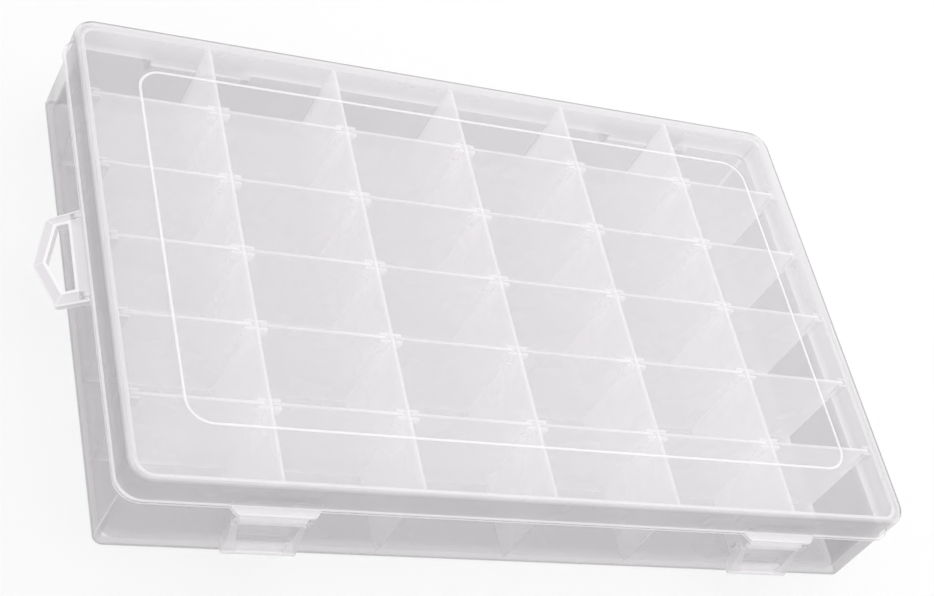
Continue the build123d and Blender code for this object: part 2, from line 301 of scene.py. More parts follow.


# %% [markdown]
# The plastic is natural polypropylene: see-through but faintly milky, so each face adds a little pale
# grey to what lies behind it. Glass with real refraction would do the same slowly and with noise. Here
# alpha says how milky a face is, rises where highlights and shade are painted, and drifts a little with
# the mould's flow. Colour is painted paler on highlights and darker in painted shade, and level and
# upright faces get their own colours as painted light and shade.

# %% The clear plastic
FLOW_SCALE, GRAIN_SCALE = 34.0, 420.0
GRAIN_STRENGTH, GRAIN_DEPTH = 0.12, 0.3 * MM
# Alpha and colour of painted shade, a dark grey with a trace of lilac.
PAINTED_SHADE_ALPHA, PAINTED_SHADE_COLOUR = 0.52, grey(0.15, 0.8)


def clear_plastic(name, level, upright, edge=(0.6, 0.95), lip=None, shadow=0.25):
    """Principled plastic, given by pairs of alpha and colour for level faces, upright faces and edges.

    A mark of 1 gives the edge pair, a painted highlight, and one of -1 the painted shade pair above. lip
    is two heights in millimetres and an amount of painted highlight that rises between them. Milky plastic
    passes most light on forwards, so for light on its way from the lamp or from another face its alpha is
    only the share given by shadow.
    """
    material = bpy.data.materials.new(name)
    material.use_nodes = True
    tree = material.node_tree
    tree.nodes.clear()
    start = Shade(tree, None)
    place = start.node("ShaderNodeTexCoord", output="Object")
    height = start.node("ShaderNodeSeparateXYZ", inputs={0: place}, output="Z")
    cloud = start.node("ShaderNodeTexNoise", inputs={"Vector": place, "Scale": FLOW_SCALE, "Detail": 3.0})
    grain = start.node("ShaderNodeTexNoise", inputs={"Vector": place, "Scale": GRAIN_SCALE, "Detail": 2.0})
    marked, thin = (start.node("ShaderNodeAttribute", {"attribute_name": mark}, output="Fac")
                    for mark in ("gleam", "thin"))
    # The mark's positive part is a painted highlight and its negative part painted shade.
    gleam, painted_shade = marked.math("MAXIMUM", marked, 0.0), marked.math("MAXIMUM", -1.0 * marked, 0.0)
    if lip:
        gleam = gleam.math("MAXIMUM", gleam, lip[2] * height.ramp(lip[0] * MM, lip[1] * MM))
    normal = start.node("ShaderNodeTexCoord", output="Normal")
    facing = start.node("ShaderNodeSeparateXYZ", inputs={0: normal}, output="Z")
    # Level and upright faces get their own alpha and colour, which paints tops and sides lighter or darker.
    flat = facing.math("ABSOLUTE", facing, 0.0).ramp(0.1, 0.7)
    face = flat.blend(grey(upright[1]), grey(level[1]))
    alpha = upright[0] + (level[0] - upright[0]) * flat
    alpha = alpha * (0.88 + 0.24 * cloud) * (1.0 - thin)
    alpha = alpha + (edge[0] - alpha) * gleam + (PAINTED_SHADE_ALPHA - alpha) * painted_shade
    to_lamp, bounced = (start.node("ShaderNodeLightPath", output=ray)
                        for ray in ("Is Shadow Ray", "Is Diffuse Ray"))
    alpha = alpha * (1.0 - (1.0 - shadow) * to_lamp.math("MAXIMUM", to_lamp, bounced))
    colour = painted_shade.blend(gleam.blend(face, grey(edge[1])), PAINTED_SHADE_COLOUR)
    bump = start.node("ShaderNodeBump", inputs={
        "Strength": GRAIN_STRENGTH, "Distance": GRAIN_DEPTH, "Height": grain})
    shader = start.node("ShaderNodeBsdfPrincipled", inputs={
        "Base Color": colour, "Roughness": 0.22 + 0.1 * cloud, "IOR": 1.49, "Alpha": alpha, "Normal": bump})
    start.node("ShaderNodeOutputMaterial", inputs={"Surface": shader})
    return material


# Each finish's edge pair is the colour of its painted highlights, and its level and upright pairs paint tops
# and sides lighter or darker. lip adds a painted highlight along the top edges of partitions and dividers.
LID_PLASTIC = clear_plastic("clear_lid", (0.16, 0.9), (0.35, 0.5), edge=(0.7, 0.95))
TRAY_PLASTIC = clear_plastic("clear_tray", (0.38, 0.8), (0.26, 0.5))
WALL_PLASTIC = clear_plastic("clear_partition", (0.3, 0.88), (0.6, 0.95), edge=(0.95, 0.99),
                             lip=(33.0, 37.7, 0.2), shadow=0.12)
DIVIDER_PLASTIC = clear_plastic("clear_divider", (0.3, 0.9), (0.55, 0.8), edge=(0.75, 0.97),
                                lip=(37.0, 37.3, 0.15), shadow=0.12)
LATCH_PLASTIC = clear_plastic("clear_latch", (0.2, 0.85), (0.12, 0.5), edge=(0.75, 0.88))
LOOP_PLASTIC = clear_plastic("clear_loop", (0.75, 0.8), (0.7, 0.7), edge=(0.9, 0.98))
print("finishes", [m.name for m in bpy.data.materials if m.name.startswith("clear")])

# %% [markdown]
# The tray is one shell. Its rings start on the inside floor, run out and up the inner wall, over the
# rim and down the outside, past the shoulder that the lid's skirt comes down to, and end under the box.
# Every ring is a rounded rectangle with its own half sizes, corner and height, and carries painted light
# and shade. Behind, the rings get more points round each hinge, so that a painted highlight on the wall
# can start and stop there over a short distance.

# %% Rings of the tray
CORNER_POINTS = 9
HINGE_HALF = HINGE["length"] / 2 + 1.7


def wall_rings(rows):
    """Rings from rows of (half length, half width, corner, height, painted light and shade)."""
    rows = np.array(rows, float)
    radius = np.repeat(rows[:, 2:3], 4, axis=1)
    outlines = rounded(rectangle(rows[:, 0], rows[:, 1]), radius, steps=CORNER_POINTS - 1)
    return raised(outlines, rows[:, 3]), rows[:, 4]


def arc_rows(half_x, half_y, corner, height, radius, start, end, steps, gleam=0.0):
    """Rows round a quarter circle of a wall: size + radius cos a, height + radius sin a."""
    a = np.radians(np.linspace(start, end, steps + 1))
    out, up = radius * np.cos(a), radius * np.sin(a)
    return [(half_x + o, half_y + o, corner + o, height + u, gleam) for o, u in zip(out, up)]


def tray_rows():
    """Inside floor, inner wall, rim, upper outside, shoulder, outside, bottom."""
    corner, wall = TRAY["corner"], TRAY["wall"]
    rim, fillet, rise = 0.45, 0.9, TRAY["height"]
    upper_x, upper_y = INNER_X + wall, INNER_Y + wall
    lower_x, lower_y = TRAY["length"] / 2, TRAY["width"] / 2
    inner = (INNER_X - fillet, INNER_Y - fillet, corner - wall - fillet)
    # The last number of a row is painted light and shade: painted shade on the floor, low on the inner wall
    # and round the bottom edge, painted highlights high on the inner wall, on the rim and at the shoulder.
    rows = [(INNER_X - 4, INNER_Y - 4, 0.5, TRAY["floor"], -0.7), inner + (TRAY["floor"], -0.3)]
    rows += arc_rows(*inner, TRAY["floor"] + fillet, fillet, -80, 0, 4, -0.1)
    steps = ((4, -0.1), (25.7, -0.1), (26.4, -0.1), (28.2, -0.1), (28.8, 0.3), (36.0, 0.3), (37.4, 0.5))
    rows += [(INNER_X, INNER_Y, corner - wall, z, g) for z, g in steps]
    rows += arc_rows(INNER_X + rim, INNER_Y + rim, corner - wall + rim, rise - rim, rim, 180, 100, 3, 0.8)
    rows += arc_rows(upper_x - rim, upper_y - rim, corner - rim, rise - rim, rim, 80, 0, 3, 0.8)
    step, ledge = SHOULDER["height"], 0.25
    rows += [(upper_x, upper_y, corner, z, 0.0) for z in (rise - rim - 0.3, step + ledge)]
    rows += [(upper_x + 0.15, upper_y + 0.15, corner, step, 0.2)]
    corner, edge = TRAY["foot_corner"], TRAY["edge"]
    rows += arc_rows(lower_x - ledge, lower_y - ledge, corner - ledge, step - ledge, ledge, 90, 0, 3, 0.3)
    rows += [(lower_x, lower_y, corner, z, 0.0) for z in (step - 0.8, 17.0, 8.0, 5.0, edge + 0.6)]
    arc = arc_rows(lower_x - edge, lower_y - edge, corner - edge, edge, edge, 0, -90, 6)
    rows += [row[:4] + (g,) for row, g in zip(arc, [0.0, 0.0, -0.1, -0.4, -0.8, -1.0, -1.0])]
    border = ((0.5, -0.5), (2.2, -0.45), (3.0, 0.1))
    rows += [(lower_x - edge - o, lower_y - edge - o, max(corner - edge - o, 0.3), 0, g) for o, g in border]
    return rows


def marked_back(rings, places):
    """Rings with more points on the straight back side, at the given x in descending order."""
    start = 2 * CORNER_POINTS
    extra = np.repeat(rings[:, start - 1:start], len(places), axis=1)
    extra[..., 0] = places
    return np.concatenate([rings[:, :start], extra, rings[:, start:]], axis=1)


def tray_gleam(rings, gleam):
    """Painted light and shade for each point.

    Behind and on the right, the inner wall carries painted shade up to the lid's foot, a little lighter
    towards the right, and a painted highlight above it, and a painted highlight from lower down where a
    hinge stands behind it. Above the shoulder the painted highlights are full in front and on the left and
    fainter behind and on the right. Outside, the left wall carries painted shade towards its foot, the
    right wall painted shade towards the front, and a painted highlight runs up each left corner as a pale
    line.
    """
    gleam, (x, y, z) = np.repeat(gleam[:, None], rings.shape[1], axis=1), np.moveaxis(rings, -1, 0)
    inside = (np.abs(x) < INNER_X + 0.1) & (np.abs(y) < INNER_Y + 0.1)
    far = (x > INNER_X - 1) | (y > INNER_Y - 1)
    seam, lid_foot, rim_foot = SHOULDER["height"] - 0.6, LID["foot"] + 1.1, 37.5
    hinge = (y > INNER_Y - 1) & (np.abs(np.abs(x) - HINGE["x"]) < HINGE_HALF) & (z > seam)
    wall = inside & far & (z > TRAY["floor"] + 0.5)
    gleam = np.where(wall & (z < lid_foot), np.where(hinge, 0.4, -0.85 + 0.0014 * x), gleam)
    gleam = np.where(wall & (z > lid_foot) & (z < rim_foot), 0.55, gleam)
    gleam = np.where(far & ~wall & (z > seam), 0.3 * gleam, gleam)
    outside = (x.max(axis=1, keepdims=True) > INNER_X + 1.5) & (z > 1.5) & (z < seam)
    gleam = np.where(outside & (x < -INNER_X - 1), -0.45 * (z < 9) - 0.15 * (z < 18), gleam)
    right = (x > TRAY["length"] / 2 - 2) & (z > 0) & (z < seam)
    gleam = np.where(right, np.minimum(gleam, -0.45 + 0.35 * y / INNER_Y), gleam)
    front_left = rings.shape[1] - CORNER_POINTS
    lines = np.isin(np.arange(rings.shape[1]), (front_left - 2, front_left + 1))
    return np.where(outside & lines & (z > 4), 0.8 * (z > 6), gleam)


hinge_edges = np.array([HINGE_HALF + 0.3, HINGE_HALF - 0.2, 0.2 - HINGE_HALF, -0.3 - HINGE_HALF])
rings, painted_values = wall_rings(tray_rows())
rings = marked_back(rings, np.concatenate([hinge_edges + HINGE["x"], hinge_edges - HINGE["x"]]))
tray = Piece("tray").add(rings, tray_gleam(rings, painted_values))
print("tray rings", tray.count)

# %% [markdown]
# On each end wall stand five pairs of ribs, and a divider slides between the two of a pair. A rib is a
# small column rooted in the wall. It shows at its top, which carries a painted highlight, and fades
# downwards, as it does in the photograph. The partitions between the columns carry the same pairs on
# both faces.

# %% Ribs on the end walls
RIB = dict(reach=3.2, thick=1.1, top=37.5, pitch=2.6, root=0.4, corner=0.25, sunk=0.3)


def rib_columns(wall_x, side):
    """Grid, painted highlight and thinness of each rib, standing out from a wall face at wall_x towards
    side.
    """
    middle = wall_x + side * (RIB["reach"] - RIB["root"]) / 2
    half_x, half_y = (RIB["reach"] + RIB["root"]) / 2, RIB["thick"] / 2
    outline = rounded(rectangle(np.array(half_x), np.array(half_y)), RIB["corner"], 3)
    centres = (DIVIDER_Y[:, None] + np.array([-0.5, 0.5]) * RIB["pitch"]).ravel()
    drop = np.array([0, 0.06, 0.2, 3.0, 7.0, 12.0, 18.0, RIB["top"] - TRAY["floor"] + RIB["sunk"]])
    moves = np.array([-0.2, -0.06, 0, 0, 0, 0, 0, 0])
    painted_values, thin = [0.2, 0.3, 0.3, 0.25, 0.05, 0, 0, 0], [0, 0, 0.2, 0.6, 0.95, 1, 1, 1]
    return [(stack(outline + np.array([middle, y]), moves, RIB["top"] - drop), painted_values, thin) for y in centres]


for side in (-1, 1):
    for column in rib_columns(side * INNER_X, -side):
        tray.add(*column)
print("with ribs", tray.count)

# %% [markdown]
# Behind the tray two pairs of cheeks hold the hinge pins. A cheek is a plate that ends in a round boss, so
# its side view is one outline, laid across X as a slab.

# %% Hinge cheeks and pins
def cheek_outline():
    """From the wall along the lower side, round the boss, back along the upper side."""
    boss = circle(HINGE["y"], HINGE["z"], HINGE["cheek"], -90, 90, 16)
    wall, half = -FRONT - ROOT, HINGE["cheek"]
    return np.concatenate([[(wall, HINGE["z"] - half)], boss, [(wall, HINGE["z"] + half)]])


cheek_step = HINGE["length"] / 2 + HINGE["gap"] + HINGE["thick"] / 2
# Cheeks and pins carry a painted highlight.
for middle in (-HINGE["x"], HINGE["x"]):
    for side in (-1, 1):
        x = middle + side * cheek_step
        tray.add(along_x(slab(cheek_outline(), x + HINGE["thick"] / 2, x - HINGE["thick"] / 2, 0.25)), 0.5)
    tray.add(rod_x(HINGE["y"], HINGE["z"], HINGE["pin"], middle, 2 * cheek_step), 0.5)
print("with cheeks", tray.count)

# %% [markdown]
# In front, each latch hooks under a small ledge with a sloped top. On the left end two open eyes hold the
# pins of the hang loop. Both are side views laid along an axis, as the cheeks are.

# %% Catch ledges and loop eyes
LATCH = dict(x=89.5, y=FRONT - 2.9, z=24.4, pin=0.9, barrel=1.9, length=21.4)
LOOP = dict(x=-137.6, z=25.2, tilt=32.0, thick=3.0, edge=0.95, pin=0.9, eye=1.75, eye_y=14.85, eye_thick=1.9)
LEDGE = dict(root=FRONT + ROOT, tip=FRONT - 1.8, foot=15.2, nose=16.1, top=17.9, half=10.0)
ledge = np.array([(LEDGE["tip"], LEDGE["foot"]), (LEDGE["tip"], LEDGE["nose"]), (FRONT, LEDGE["top"]),
                  (LEDGE["root"], LEDGE["top"]), (LEDGE["root"], LEDGE["foot"])])
# The ledges carry a slight painted highlight.
for middle in (-LATCH["x"], LATCH["x"]):
    tray.add(along_x(slab(ledge, middle + LEDGE["half"], middle - LEDGE["half"], 0.2)), 0.1)


def eye_outline():
    """Ring with a mouth below, its outside running on into an arm towards the wall."""
    inner = circle(LOOP["x"], LOOP["z"], LOOP["pin"] + PIN_PLAY, 228, -48, 18)
    outer = circle(LOOP["x"], LOOP["z"], LOOP["eye"], -66, -32, 4)
    wall = -TRAY["length"] / 2 + ROOT
    arm = [(wall, LOOP["z"] - 1.25), (wall, LOOP["z"] + LOOP["eye"])]
    crown = circle(LOOP["x"], LOOP["z"], LOOP["eye"], 90, 246, 14)
    return np.concatenate([outer, arm, crown, inner])


# The eyes carry a painted highlight.
for side in (-1, 1):
    middle, half = -side * LOOP["eye_y"], LOOP["eye_thick"] / 2
    tray.add(along_y(slab(eye_outline(), middle + half, middle - half, 0.15)), 0.3)
tray_made = tray.finish("base", ["base_tray"], "clear_shell", TRAY_PLASTIC)
print("tray", len(tray_made.data.polygons), "faces")

# %% [markdown]
# Each of the five partitions is a plain wall with ten ribs on each face. Near its top the wall carries a
# painted highlight round each crossing with a divider, and at its two ends it carries painted shade.

# %% Partitions
def partition_grid(wall_x):
    """Rings from the rounded top edge to the floor, with their painted light and shade."""
    end, rise, r = INNER_Y + 0.3, TRAY["height"], 0.3
    y = (DIVIDER_Y[:, None] + np.array([-9, -5, -2.5, 0, 2.5, 5, 9])).ravel()
    y = np.concatenate([[-end, 0.5 - end], y, [end - 0.5, end]])
    painted_values = np.concatenate([[0, 0], np.tile([0, 0.5, 0.9, 1, 0.9, 0.5, 0], 5), [0, 0]])
    side = np.repeat([1, -1], len(y))
    level = np.array([rise, rise - 0.09, rise - r, 37.3, 34.0, 30.0, 25.0, 19.0, 8.0, TRAY["floor"] - 0.3])
    inset = np.array([-r, -0.09] + [0] * 8)
    x = wall_x + side * (PARTITION_HALF + inset[:, None])
    height = np.broadcast_to(level[:, None], x.shape)
    fade = np.array([0, 0, 0.1, 0.5, 0.8, 0.8, 0.5, 0.1, 0, 0])
    y, painted_values = np.concatenate([y, y[::-1]]), np.concatenate([painted_values, painted_values[::-1]])
    gleam = np.where((np.abs(y) > INNER_Y + 0.2) & (level[:, None] < 37), -0.3, fade[:, None] * painted_values)
    return np.stack([x, np.broadcast_to(y, x.shape), height], axis=-1), gleam


for number, wall_x in enumerate(PARTITION_X, start=1):
    wall = Piece(f"wall_{number}").add(*partition_grid(wall_x))
    for side in (-1, 1):
        for column in rib_columns(wall_x + side * PARTITION_HALF, side):
            wall.add(*column)
    made = wall.finish("base", [f"partition_{number}"], "clear_shell", WALL_PLASTIC)
print("partition", len(made.data.polygons), "faces")

# %% [markdown]
# The thirty dividers lift out. Each is a plate with rounded corners and softened rims that stands on the
# floor in two facing slots. End columns are a little narrower than the others.

# %% Dividers
DIVIDER = dict(thick=1.1, top=37.7, gap=0.25, corner=1.5, rim=0.25, end=0.15)


def divider_grid(left, right, y):
    """Rings of a flat plate's plan from the top down, with their painted light and shade.

    An end's corner of radius r takes r (1 - cos a) off the half length at r (1 - sin a) from the top or
    bottom. Painted light grows from left to right, from slight painted shade to a painted highlight,
    standing in for the light across each compartment, and a painted highlight is stronger near the ribs.
    Near the tray's left wall the lower part and its foot carry a painted highlight as well.
    """
    low, high, r, end = TRAY["floor"] + 0.02, DIVIDER["top"], DIVIDER["corner"], DIVIDER["end"]
    a = np.radians(np.linspace(90, 0, 6))
    sunk, cut = r * (1 - np.sin(a)), r * (1 - np.cos(a))
    height = np.concatenate([high - sunk, [31, 26, 20, 8], (low + sunk)[::-1]])
    cut = np.concatenate([cut, np.zeros(4), cut[::-1]])
    rim = np.concatenate([[DIVIDER["rim"], 0.08], np.zeros(12), [0.08, DIVIDER["rim"]]])
    reach = np.array([0, end, RIB["reach"], 9, 9, RIB["reach"], end, 0])
    side = np.array([-1, -1, -1, -1, 1, 1, 1, 1])
    half_x = (right - left) / 2 - DIVIDER["gap"] - cut[:, None]
    x = (left + right) / 2 + side * (half_x - reach)
    deep = DIVIDER["thick"] / 2 - rim[:, None] - np.where(reach == 0, end, 0)
    near = np.array([0.3, 0.3, 0.25, 0, 0, 0.6, 0.7, 0.7])
    x, deep, near = np.hstack([x, x[:, ::-1]]), np.hstack([-deep, deep]), np.hstack([near, near[::-1]])
    painted_rib_highlight = np.array([0.25] * 6 + [0.5, 0.4, 0.2, 0] + [0] * 6)[:, None] * near
    low_part = np.array([0.0] * 6 + [0, 0, 0.3, 0.5, 0.5, 0.5, 0.9, 1.0, 1.0, 1.0])[:, None]
    gleam = 0.5 * (x - left) / (right - left) - 0.1 + painted_rib_highlight + low_part * np.clip(1 - (x + INNER_X) / 30, 0, 1)
    level = np.broadcast_to(height[:, None], x.shape)
    return np.stack([x, y + deep, level], axis=-1), np.clip(gleam, -1, 1)


faces = (PARTITION_X[:, None] + np.array([-PARTITION_HALF, PARTITION_HALF])).ravel()
walls = np.concatenate([[-INNER_X], faces, [INNER_X]])
for column, (left, right) in enumerate(walls.reshape(6, 2), start=1):
    for row, y in enumerate(DIVIDER_Y, start=1):
        plate = Piece(f"plate_c{column}_r{row}").add(*divider_grid(left, right, y))
        plate.finish("base", [f"divider_c{column}_r{row}"], "clear_divider", DIVIDER_PLASTIC)
print("dividers", column * row)

# %% [markdown]
# The lid is a shell like the tray, upside down. Its rings start inside the raised line on top, cross the
# line, run over the rounded edge and down the skirt to the band at its foot, and return inside.

# %% Rings of the lid
BEAD = dict(half_x=117.7, half_y=66.5, corner=8.0, height=0.5)


def bead_rows():
    """The raised line: height follows a bell over offsets from its middle, and its crest carries a painted
    highlight.
    """
    offset = np.array([-3.0, -0.85, -0.6, -0.4, -0.18, 0.18, 0.4, 0.6, 0.85, 3.0])
    bell = np.array([0, 0, 0.2, 0.8, 1, 1, 0.8, 0.2, 0, 0])
    painted_values = np.array([0, 0, 0.1, 1, 1, 1, 1, 0.1, 0, 0])
    return [(BEAD["half_x"] + o, BEAD["half_y"] + o, BEAD["corner"] + o, LID["top"] + BEAD["height"] * b, g)
            for o, b, g in zip(offset, bell, painted_values)]


def lid_rows():
    """Raised line, plate, rounded edge, skirt, band, foot, inner skirt, inner plate."""
    half_x, half_y, corner, edge = LID["length"] / 2, LID["width"] / 2, LID["corner"], LID["edge"]
    band_x, band_y, foot = BAND["length"] / 2, BAND["width"] / 2, LID["foot"]
    rows = bead_rows()
    arc = arc_rows(half_x - edge, half_y - edge, corner - edge, LID["top"] - edge, edge, 90, 0, 10)
    # The rounded edge carries a painted highlight on its upper part and painted shade below it.
    painted_values = [0.0, 0.0, 0.1, 0.2, 0.3, 0.25, 0.05, -0.1, -0.25, -0.1, 0.0]
    rows += [row[:4] + (g,) for row, g in zip(arc, painted_values)]
    crown = foot + BAND["height"]
    # The band's two edges carry painted highlights, with slight painted shade between them.
    band = ((0, crown + 0.5, 0.0), (0, crown + 0.2, 0.9), (0.85, crown, 0.9), (1, crown - 0.15, 0.6),
            (1, crown - 0.4, -0.1), (1, foot + 0.6, -0.1), (1, foot + 0.45, 0.9), (1, foot + 0.1, 0.9),
            (0.8, foot, 0.9), (0, foot, 0.2))
    rows += [(half_x + (band_x - half_x) * out, half_y + (band_y - half_y) * out, corner, z, g)
             for out, z, g in band]
    wall, rim = LID["wall"], 0.2
    # Inside, the foot and the inner rounded edge carry a painted highlight that fades towards the plate.
    rows += [(half_x - wall + soft, half_y - wall + soft, corner - wall + soft, z, g)
             for soft, z, g in ((rim, foot, 0.2), (0, foot + rim, 0.3), (0, foot + 0.8, 0.4))]
    ceiling = LID["top"] - LID["plate"]
    arc = arc_rows(half_x - edge, half_y - edge, corner - edge, ceiling - wall, wall, 0, 90, 5)
    rows += [row[:4] + (g,) for row, g in zip(arc, [0.4, 0.3, 0.2, 0.1, 0.0, 0.0])]
    return rows


def lid_gleam(rings, gleam):
    """Painted light and shade for each point.

    The band's painted lines are fainter behind and on the right, where the rounded edge carries a painted
    dark line. On the left the skirt carries painted shade and the rounded edge a slight painted highlight.
    The plate's border carries a painted highlight behind and on the right towards the back, and painted
    shade in front and on the left.
    """
    gleam, (x, y, z) = np.repeat(gleam[:, None], rings.shape[1], axis=1), np.moveaxis(rings, -1, 0)
    half_x, half_y, foot, top = LID["length"] / 2, LID["width"] / 2, LID["foot"], LID["top"]
    far = (x > half_x - 3) | (y > half_y - 3)
    gleam = np.where(far & (z < foot + 2), 0.1 * gleam, gleam)
    rounding = (z > top - 2.1) & (z < top - 0.08)
    outer = (x > half_x - 1) | (y > half_y - 1) | (z > top - LID["plate"] + 0.05)
    gleam = np.where(far & rounding & outer, -0.9, gleam)
    gleam = gleam - 0.3 * ((x < 0.5 - half_x) & (z > foot + 1.8) & (z < top - 1))
    gleam = gleam + 0.15 * ((x < 2 - half_x) & (z > top - 1.5) & (z < top - 0.1))
    sides = (x - half_x, y - half_y, -x - half_x, -y - half_y)
    right, behind, left, ahead = (np.clip((d + 5) / 3, 0, 1) for d in sides)
    border = np.maximum(0.45 * right * (y > 0), 0.33 * behind) - np.maximum(0.33 * left, 0.26 * ahead)
    return gleam + border * (z > top - 0.1)


rings, painted_values = wall_rings(lid_rows())
lid = Piece("lid_cover").add(rings, lid_gleam(rings, painted_values))
print("lid rings", lid.count)

# %% [markdown]
# Above each latch the band widens into a flat lug, a trapezoid with rounded front corners. Two ears
# below it carry the pin that the latch swings on. On the skirt behind it lies a pad no thicker than a
# sheet of paper, whose painted highlight gives the pale patch that the photograph shows there. The lug's
# edges carry painted highlights too.

# %% Lugs on the lid
LUG = dict(root=14.7, front=12.4, reach=4.6, round=2.0, ear=1.3, ear_radius=1.8, stem=1.2, gap=0.4)


def lug_grid(middle):
    """Rings with painted light and shade and thinness.

    Rows of half width at the root, half width in front, y of the front, corner, height, painted light and
    shade, thinness.
    """
    skirt, front = -LID["width"] / 2, FRONT - LUG["reach"]
    foot, crown = LID["foot"], LID["foot"] + BAND["height"]
    wide, slim, turn = LUG["root"], LUG["front"], LUG["round"]
    rows = np.array([
        (10.0, 10.0, skirt - 0.02, 0.1, crown + 5.4, 0, 1),
        (12.0, 12.0, skirt - 0.05, 0.1, crown + 4.4, 0.1, 0.8),
        (13.6, 13.6, skirt - 0.1, 0.1, crown + 2.6, 0.3, 0.3),
        (14.2, 14.2, skirt - 0.1, 0.1, crown + 0.2, 0.4, 0),
        (wide, 14.0, skirt - 0.4, 0.2, crown, 0.4, 0),
        (wide, slim, front + 0.6, turn - 0.4, crown, 0.4, 0),
        (wide, slim, front + 0.25, turn - 0.2, crown, 0.9, 0),
        (wide, slim, front, turn, crown - 0.25, 0.9, 0),
        (wide, slim, front, turn, crown - 0.45, -0.1, 0),
        (wide, slim, front, turn, foot + 0.6, -0.1, 0),
        (wide, slim, front, turn, foot + 0.4, 0.9, 0),
        (wide, slim, front + 0.15, turn, foot, 0.9, 0)])
    back, ahead, y, corner, height, gleam, thin = rows.T
    root, tight = np.full(len(rows), skirt + ROOT), np.full(len(rows), 0.1)
    x = np.stack([-back, -ahead, ahead, back], axis=-1)
    y = np.stack([root, y, y, root], axis=-1)
    radius = np.stack([tight, corner, corner, tight], axis=-1)
    outlines = rounded(np.stack([x, y], axis=-1), radius, 6) + np.array([middle, 0])
    return raised(outlines, height), gleam, thin


def ear_outline():
    """Stem down from the lug's foot, round the pin's boss."""
    boss = circle(LATCH["y"], LATCH["z"], LUG["ear_radius"], 132, 360, 18)
    top = LID["foot"] + 0.3
    return np.concatenate([boss, [(LATCH["y"] + LUG["ear_radius"], top), (LATCH["y"] - LUG["stem"], top)]])


# Each lug carries painted light and shade, and its ears and pin a painted highlight.
for middle in (-LATCH["x"], LATCH["x"]):
    lid.add(*lug_grid(middle))
    step = LATCH["length"] / 2 + LUG["gap"] + LUG["ear"] / 2
    for side in (-1, 1):
        x = middle + side * step
        lid.add(along_x(slab(ear_outline(), x + LUG["ear"] / 2, x - LUG["ear"] / 2, 0.2)), 0.3)
    lid.add(rod_x(LATCH["y"], LATCH["z"], LATCH["pin"], middle, 2 * step, steps=16), 0.3)
print("with lugs", lid.count)

# %% [markdown]
# Behind, an arm from the skirt wraps each hinge pin. Its side view is a hook: down the arm, round the
# outside of the ring, in at the mouth and round the bore.

# %% Knuckles on the lid
def knuckle_outline():
    """Arm, outer arc, mouth and bore as one outline."""
    root = LID["width"] / 2 - ROOT
    y, z = HINGE["y"], HINGE["z"]
    bore = circle(y, z, HINGE["pin"] + PIN_PLAY, -127, -413, 22)
    ring_left = circle(y, z, HINGE["knuckle"], 165, 241, 8)
    ring_right = circle(y, z, HINGE["knuckle"], -61, 12, 8)
    arm = [(root + 2.55, 30.8), (root, 30.8), (root, LID["foot"])]
    return np.concatenate([ring_right, arm, ring_left, bore])


# The knuckles carry a painted highlight.
for middle in (-HINGE["x"], HINGE["x"]):
    half = HINGE["length"] / 2
    lid.add(along_x(slab(knuckle_outline(), middle + half, middle - half, 0.25)), 0.4)
lid_made = lid.finish("lid", ["lid"], "clear_shell", LID_PLASTIC)
print("lid", len(lid_made.data.polygons), "faces")

# %% [markdown]
# A latch is a flap under a barrel. The flap flares forward to a finger lip, and a tapering window is
# sunk into it, so a wedge-shaped frame is left round the window. Cut level by level, its section is a
# rectangle with a notch in front, which opens at the window's top edge and closes at the lip.

# %% Latches
FLAP = dict(back=FRONT - 2.5, face=FRONT - 3.9, lip=FRONT - 7.4, half=11.7, top=22.2, lip_top=12.4,
            bottom=10.8)


def flap_grid(middle):
    """Rings of the notched section: rows of height, front, half width, notch half width, notch depth."""
    face, lip, top, foot, bottom = (FLAP[part] for part in ("face", "lip", "top", "lip_top", "bottom"))
    neck, half, small = LATCH["length"] / 2, FLAP["half"], 0.03
    rows = np.array([
        (LATCH["z"] - 1.3, face, neck, 8.0, small),
        (top + 0.3, face, neck, 10.0, small),
        (top + 0.02, face - 0.02, half - 0.25, 10.0, small),
        (top - 0.15, face - 0.1, half, 9.95, 0.1),
        (top - 0.6, face - 0.22, half, 9.8, 0.22),
        (foot + 1.0, lip + 0.36, half, 7.6, 3.14),
        (foot + 0.3, lip + 0.11, half, 7.3, 3.2),
        (foot, lip + 0.2, half, 7.2, 2.0),
        (foot - 0.02, lip, half, 7.0, small),
        (foot - 0.7, lip, half, 7.0, small),
        (bottom + 0.2, lip + 0.12, half, 7.0, small),
        (bottom, lip + 0.45, half - 0.2, 7.0, small)])
    height, front, wide, notch, deep = rows.T
    back = np.full(len(rows), FLAP["back"])
    x = np.stack([-wide, -wide, -notch, -notch, notch, notch, wide, wide], axis=-1)
    y = np.stack([back, front, front, front + deep, front + deep, front, front, back], axis=-1)
    soft = np.minimum(0.35, 0.42 * deep)
    edge = np.full(len(rows), 0.3)
    radius = np.stack([edge, edge, soft, soft, soft, soft, edge, edge], axis=-1)
    outlines = rounded(np.stack([x, y], axis=-1), radius, 3) + np.array([middle, 0])
    # The frame round the window carries a painted highlight, and the window itself painted shade in its
    # upper part and a painted highlight at the lip.
    frame = np.array([0.3, 0.3, 0.5, 0.5, 0.45, 0.55, 0.6, 0.6, 0.5, 0.45, 0.5, 0.5])
    window = np.array([0.3, 0.3, 0.2, -0.1, -0.2, -0.2, -0.2, 0.1, 0.6, 0.45, 0.5, 0.5])
    inside = np.repeat([0, 0, 0, 1, 1, 0, 0, 0], 4)
    return raised(outlines, height), frame[:, None] + (window - frame)[:, None] * inside


def barrel_outline():
    """Ring open towards the front, where the pin snaps in."""
    y, z = LATCH["y"], LATCH["z"]
    outer = circle(y, z, LATCH["barrel"], -157, 157, 26)
    inner = circle(y, z, LATCH["pin"] + PIN_PLAY, 127, -127, 16)
    return np.concatenate([outer, inner])


